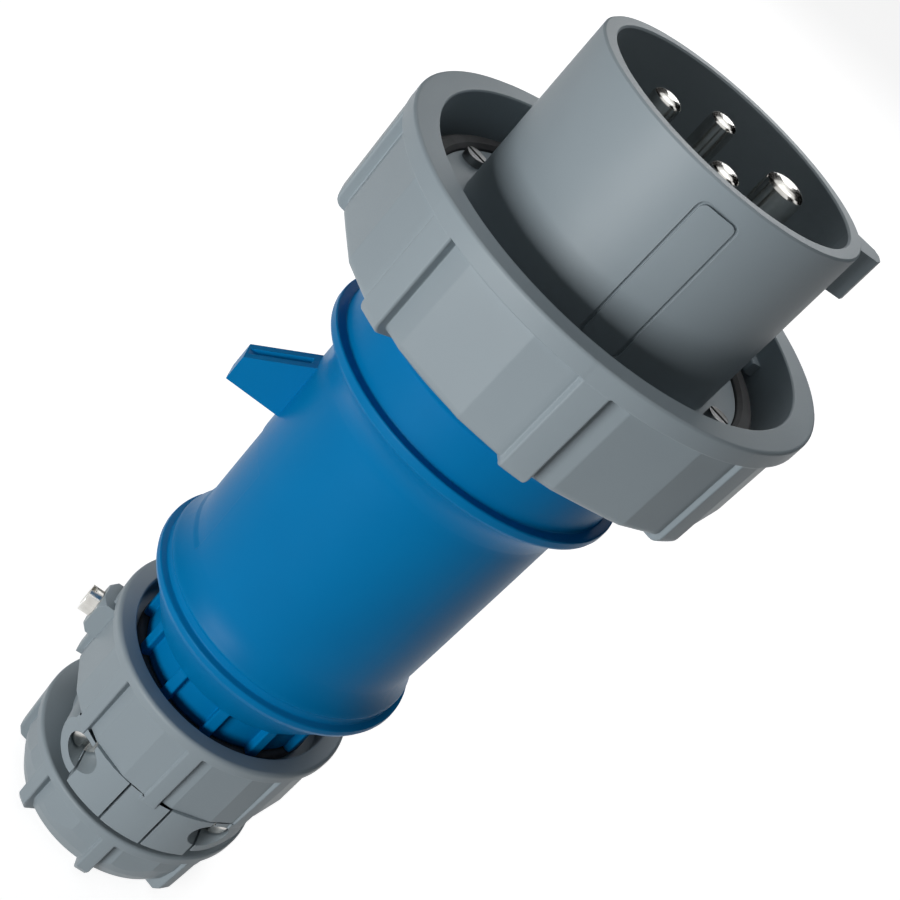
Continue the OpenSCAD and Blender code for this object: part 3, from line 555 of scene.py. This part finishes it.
# x follows the height z: level from back to level, then straight from the tip down to the barrel at the end
def makeLug(v):
    half, wide, level, end = v["halfWidth"], v["channelHalf"], v["level"], v["end"]
    slope = (v["tip"] - v["barrel"]) / (level - end)
    z = np.array([v["back"], v["back"], level, level + 0.2, level + 0.25, end - 1.9, end - 0.7, end, end])
    top = np.minimum(v["foot"], v["tip"] - slope * np.minimum(0, level - z))
    top[0], top[-1] = v["foot"], v["foot"]
    sunk = np.array([0, 0, 0, 0, v["channelDepth"], v["channelDepth"] - 0.1, 0.05, 0, 0])
    y = np.array([-half, -half, -wide, -wide + 0.0024, wide - 0.0024, wide, half, half])
    x = np.repeat(top[:, None], len(y), 1)
    x[:, 3:5] += sunk[:, None]
    x[:, 0] = x[:, -1] = v["foot"]
    x = np.minimum(x, v["foot"])
    grid = np.stack([x, np.broadcast_to(y, x.shape), np.broadcast_to(z[:, None], x.shape)], -1)
    piece = makePiece("housingLug", [shell(grid, False, True)], "plug_body", "blue_plastic")
    b = bmesh.new()
    b.from_mesh(piece.data)
    bmesh.ops.remove_doubles(b, verts=b.verts, dist=1e-6)
    bmesh.ops.dissolve_degenerate(b, edges=b.edges, dist=1e-6)
    bmesh.ops.recalc_face_normals(b, faces=b.faces)
    b.to_mesh(piece.data)
    b.free()
    rounding = piece.modifiers.new("rounding", "BEVEL")
    rounding.width, rounding.segments, rounding.limit_method = v["edge"] * mm, 3, "ANGLE"
    rounding.angle_limit = math.radians(25)
    return piece


makeHousing(housing)
makeLug(lug)


# rear nut, on the same grip plan as the ring; each foot is the part of an outline under its straight face,
# and deepStart and shallowStart are the heights at which those faces begin
rearNut = {
    "outside": 23.4, "deep": 21.5, "deepStart": 5.0, "shallow": 22.6, "shallowStart": 9.4, "length": 15.1,
    "opening": 11.0, "bore": 17.55, "inside": 3.0, "band": 12.9, "ribHeight": 1.1, "ribEdge": 0.3,
    "ribFace": 23.36, "ribFoot": [(18.8, 0, 0.5), (21.8, 1.2, 0.8), (22.9, 3.0, 0.8), (23.2, 9.0, 0.6)],
    "deepFoot": [(17.4, 0, 0.6), (20.0, 1.6, 0.8), (21.3, 4.4, 0.3)],
    "shallowFoot": [(17.4, 0, 0.6), (20.0, 1.6, 0.8), (21.7, 5.2, 0.8)],
}


def makeRearNut(v):
    angles, on = gripRing(v["outside"], v["ribHeight"], edge=v["ribEdge"])

    def outline(foot, faceR):
        return roundOff([(v["opening"], 0, 0.4)] + foot + [
            (faceR, v["band"] - 0.1, 0.25), (v["outside"] - 0.04, v["band"] + 0.1, 0.2),
            (v["outside"], v["length"], 0.6), (v["bore"], v["length"], 0.3), (v["bore"], v["inside"], 0.2),
            (v["opening"], v["inside"], 0.4)], 4)

    rib = outline(v["ribFoot"], v["ribFace"])
    deep = outline(v["deepFoot"] + [(v["deep"], v["deepStart"], 0.3)], v["deep"])
    shallow = outline(v["shallowFoot"] + [(v["shallow"], v["shallowStart"], 0.8)], v["shallow"])
    body = gripLathe(rib, deep, shallow, v["deep"], v["shallow"], angles, on)
    return makePiece("rearNut", [shell(body)], "nut", "grey_plastic", "rear_nut")


makeRearNut(rearNut)


# gland: ribbed sleeve above, and below it the clamp's body, kept from the frame and cut off under the sleeve
gland = {"front": 24.85, "mouth": 21.1, "mouthEdge": (0.3, 0.35), "mouthFloor": 41.0, "thread": 17.35,
         "drum": 20.0, "zFront": 45.7, "zRear": 28.4, "zRib": 27.1, "band": 43.4, "deep": 23.23,
         "shallow": 24.01, "ribRear": 24.3, "ribFront": 24.78, "ribHeight": 1.2, "ribEdge": 0.3,
         "cutAt": 28.45}


def makeGland(v):
    angles, on = gripRing(v["front"], v["ribHeight"], edge=v["ribEdge"])
    mouth, drum, zFront = v["mouth"], v["drum"], v["zFront"]
    edgeR, edgeZ = v["mouthEdge"]

    def outline(rear, zRear, rearR, topR):
        return roundOff([
            (v["thread"], v["zRear"], 0.05), (drum, v["zRear"], 0.05), (drum + 0.2, zRear, 0.1),
            (rearR, zRear, rear), (topR, v["band"] - 0.15, 0.25), (v["front"] - 0.06, v["band"] + 0.1, 0.2),
            (v["front"], zFront, 0.75), (mouth + edgeR, zFront, 0.15), (mouth, zFront - edgeZ, 0.15),
            (mouth, v["mouthFloor"], 0.4), (v["thread"], v["mouthFloor"], 0.2)], 4)

    rib = outline(0.5, v["zRib"], v["ribRear"], v["ribFront"])
    deep = outline(0.35, v["zRear"] - 0.001, v["deep"], v["deep"])
    shallow = outline(0.35, v["zRear"] - 0.001, v["shallow"], v["shallow"])
    sleeve = gripLathe(rib, deep, shallow, v["deep"], v["shallow"], angles, on)
    b = bmesh.new()
    b.from_mesh(frame["nodes"]["gland_body"].data)
    bmesh.ops.remove_doubles(b, verts=b.verts, dist=1e-6)
    bmesh.ops.bisect_plane(b, geom=b.verts[:] + b.edges[:] + b.faces[:], plane_co=(0, 0, v["cutAt"] * mm),
                           plane_no=(0, 0, 1), clear_outer=True)
    lower = np.array([k.co for k in b.verts]) / mm
    faces = [[k.index for k in f.verts] for f in b.faces]
    b.free()
    shells = [shell(sleeve), (lower, faces)]
    return makePiece("glandBody", shells, "plug_body", "grey_plastic", "gland_body", sharp=30)


makeGland(gland)
print("pieces made")


# stage, in metres and watts: pale floor that shows white to the camera and keeps the plug's shadow
stage = {"floor": 0.42, "lift": 0.86, "halfSide": 6, "drop": 5e-5, "ambient": 0.08, "sky": (0.93, 0.97, 1.0)}
lamps = {
    "key": {"around": -127, "tilt": -1, "distance": 0.5, "size": (0.24, 0.17), "power": 1.86},
    "top": {"around": -127, "tilt": 89.9, "distance": 1.3, "size": (0.9, 0.9), "power": 3.6},
    "back": {"around": 92, "tilt": 33, "distance": 1.1, "size": (0.9, 0.7), "power": 4.4},
}
lampTarget = 0.11
flags = {"reach": 0.75, "foot": 0.02, "top": 1.1, "arcs": ((-276, -150), (-62, -16), (6, 68)), "columns": 13,
         "black": (0.004, 0.004, 0.004)}


def plainObject(name, points, faces, material):
    mesh = bpy.data.meshes.new(name)
    mesh.from_pydata(points, [], faces)
    mesh.materials.append(material)
    made = bpy.data.objects.new(name, mesh)
    bpy.context.scene.collection.objects.link(made)
    return made


# 1 for rays that come from the camera, a reflection or glass, and 0 for light scattered by plain surfaces
def lightPathShare(tree):
    path = tree.nodes.new("ShaderNodeLightPath").outputs
    mirrored = calc(tree, "ADD", path["Is Glossy Ray"], path["Is Transmission Ray"])
    return calc(tree, "MINIMUM", 1.0, calc(tree, "ADD", path["Is Camera Ray"], mirrored))


def makeFloor(v):
    m = bpy.data.materials.new("paleFloor")
    m.use_nodes = True
    tree = m.node_tree
    tree.nodes.clear()
    diffuse = tree.nodes.new("ShaderNodeBsdfDiffuse")
    diffuse.inputs["Color"].default_value = (v["floor"], v["floor"], v["floor"], 1)
    glow = tree.nodes.new("ShaderNodeEmission")
    feed(tree, calc(tree, "MULTIPLY", lightPathShare(tree), v["lift"]), glow.inputs["Strength"])
    both = tree.nodes.new("ShaderNodeAddShader")
    feed(tree, diffuse.outputs[0], both.inputs[0])
    feed(tree, glow.outputs[0], both.inputs[1])
    feed(tree, both.outputs[0], tree.nodes.new("ShaderNodeOutputMaterial").inputs["Surface"])
    s, z = v["halfSide"], -v["drop"]
    floor = plainObject("floor", [(-s, -s, z), (s, -s, z), (s, s, z), (-s, s, z)], [(0, 1, 2, 3)], m)


def makeWorld(v):
    world = bpy.data.worlds.new("studio")
    bpy.context.scene.world = world
    world.use_nodes = True
    tree = world.node_tree
    dim = tree.nodes["Background"]
    dim.inputs["Color"].default_value = (*v["sky"], 1)
    dim.inputs["Strength"].default_value = v["ambient"]
    white = tree.nodes.new("ShaderNodeBackground")
    white.inputs["Color"].default_value = (1, 1, 1, 1)
    either = tree.nodes.new("ShaderNodeMixShader")
    feed(tree, lightPathShare(tree), either.inputs[0])
    feed(tree, dim.outputs[0], either.inputs[1])
    feed(tree, white.outputs[0], either.inputs[2])
    feed(tree, either.outputs[0], tree.nodes["World Output"].inputs["Surface"])


def makeLamp(name, v):
    light = bpy.data.lights.new(name, "AREA")
    light.shape, light.energy = "RECTANGLE", v["power"]
    light.size, light.size_y = v["size"]
    lamp = bpy.data.objects.new(name, light)
    bpy.context.scene.collection.objects.link(lamp)
    around, tilt = math.radians(v["around"]), math.radians(v["tilt"])
    aim = Vector((math.cos(around) * math.cos(tilt), math.sin(around) * math.cos(tilt), math.sin(tilt)))
    lamp.location = Vector((0, 0, lampTarget)) + aim * v["distance"]
    lamp.rotation_euler = aim.to_track_quat("Z", "Y").to_euler()


# black flags beside the object, met only by reflections: they draw the dark edges of metal and gloss
def makeFlags(v):
    black = bpy.data.materials.new("blackFlag")
    black.use_nodes = True
    skin = black.node_tree.nodes["Principled BSDF"].inputs
    skin["Base Color"].default_value = (*v["black"], 1)
    skin["Specular IOR Level"].default_value = 0.0
    points, faces = [], []
    for start, end in v["arcs"]:
        a = np.radians(np.linspace(start, end, v["columns"]))
        x, y = v["reach"] * np.cos(a), v["reach"] * np.sin(a)
        p, f = shell(np.stack([np.stack([x, y, x * 0 + z], -1) for z in (v["foot"], v["top"])]), False, False)
        faces += [[k + len(points) for k in face] for face in f]
        points += p.tolist()
    flag = plainObject("flag", points, faces, black)
    flag.visible_camera = flag.visible_diffuse = flag.visible_shadow = False


makeFloor(stage)
makeWorld(stage)
for lampName, lampValues in lamps.items():
    makeLamp(lampName, lampValues)
makeFlags(flags)
print("stage lit")

bpy.context.scene.view_settings.view_transform = "Standard"
